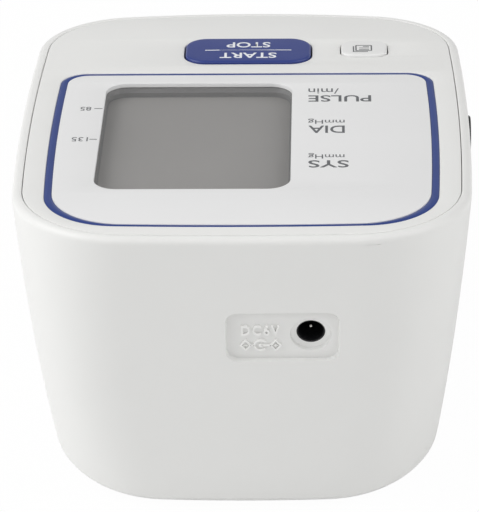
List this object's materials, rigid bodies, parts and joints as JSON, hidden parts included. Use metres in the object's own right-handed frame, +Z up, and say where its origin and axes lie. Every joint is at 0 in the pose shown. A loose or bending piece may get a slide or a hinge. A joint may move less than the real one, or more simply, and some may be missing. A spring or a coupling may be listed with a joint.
{
  "type": "blood pressure monitor",
  "caption": "Desk blood pressure monitor with a sloping display face, start and memory push buttons, side air socket, rear DC socket and a hinged battery door.",
  "frame": {"origin": "on the table, under the middle of the case", "axes": "+Z up; +Y to the rear wall with the DC socket; the user sits at -Y; +X to the user's right"},
  "size_m": [0.1037, 0.129, 0.0794],
  "materials": {
    "case_white": "fine satin moulded ABS",
    "panel_white": "smooth moulded ABS",
    "ring_blue": "smooth moulded ABS",
    "window_clear": "clear acrylic",
    "lcd_grey": "reflective LCD, off",
    "frame_grey": "moulded",
    "elastomer": "soft",
    "board_green": "solder resist on glass fibre",
    "chip_black": "moulded",
    "button_blue": "smooth moulded ABS",
    "button_white": "satin moulded ABS",
    "socket_dark": "moulded nylon",
    "nickel": "nickel plated",
    "steel": "bright steel",
    "motor_can": "plated can",
    "pump_plastic": "moulded",
    "black_rubber": "moulded rubber",
    "foot_rubber": "moulded rubber",
    "silicone": "translucent silicone",
    "cell_wrap": "printed sleeve",
    "lead_red": "PVC sleeve"
  },
  "bodies": {
    "case": {"lower_case": "case_white", "top_cover": "case_white", "display_panel": "panel_white", "trim_ring": "ring_blue", "display_window": "window_clear", "lcd_glass": "lcd_grey", "lcd_frame": "frame_grey", "lcd_strip_left": "elastomer", "lcd_strip_right": "elastomer", "circuit_board": "board_green", "board_screws": "steel", "processor": "chip_black", "buzzer": "chip_black", "pressure_sensor": "pump_plastic", "start_switch_housing": "chip_black", "memory_switch_housing": "chip_black", "dc_jack": "socket_dark", "dc_contact_pin": "nickel", "air_jack": "socket_dark", "battery_plates": "nickel", "battery_springs": "steel", "pump_motor": "motor_can", "pump_housing": "pump_plastic", "pump_diaphragm": "black_rubber", "pump_head": "pump_plastic", "pump_cushion": "black_rubber", "pump_strap": "frame_grey", "valve_body": "steel", "valve_spring": "steel", "valve_cap": "pump_plastic", "air_manifold": "pump_plastic", "leak_valve": "black_rubber", "pump_tube": "silicone", "valve_tube": "silicone", "sensor_tube": "silicone", "jack_tube": "silicone", "motor_leads": "lead_red", "battery_leads": "lead_red", "dc_leads": "lead_red", "case_screws": "steel", "aa_cell_1": "cell_wrap", "aa_cell_2": "cell_wrap", "aa_cell_3": "cell_wrap", "aa_cell_4": "cell_wrap", "rubber_foot_1": "foot_rubber", "rubber_foot_2": "foot_rubber", "rubber_foot_3": "foot_rubber", "rubber_foot_4": "foot_rubber"},
    "start_button": {"start_stop_button": "button_blue", "start_switch_actuator": "pump_plastic"},
    "memory_key": {"memory_button": "button_white", "memory_switch_actuator": "pump_plastic"},
    "door": {"battery_door": "case_white"},
    "pump_rotor": {"motor_shaft": "steel", "pump_crank": "pump_plastic"},
    "exhaust_plunger": {"valve_plunger": "steel"}
  },
  "joints": [
    {"name": "start_stop_press", "type": "slide", "parent": "case", "child": "start_button", "axis": [0, 0.2504, -0.9681], "range_m": [0, 0.001], "stiffness_N_per_m": 1200, "springref_m": -0.0005},
    {"name": "memory_press", "type": "slide", "parent": "case", "child": "memory_key", "axis": [0, 0.2504, -0.9681], "range_m": [0, 0.001], "stiffness_N_per_m": 900, "springref_m": -0.0005},
    {"name": "battery_door_hinge", "type": "hinge", "parent": "case", "child": "door", "pos_m": [0, 0.0045, 0.0022], "axis": [1, 0, 0], "range_deg": [0, 90]},
    {"name": "pump_crank_spin", "type": "hinge", "parent": "case", "child": "pump_rotor", "pos_m": [0, 0.0365, 0.0176], "axis": [1, 0, 0], "continuous": true},
    {"name": "exhaust_valve_open", "type": "slide", "parent": "case", "child": "exhaust_plunger", "axis": [0, 0, -1], "range_m": [0, 0.0008], "stiffness_N_per_m": 300, "springref_m": -0.001, "deforming": ["valve_spring"]}
  ]
}
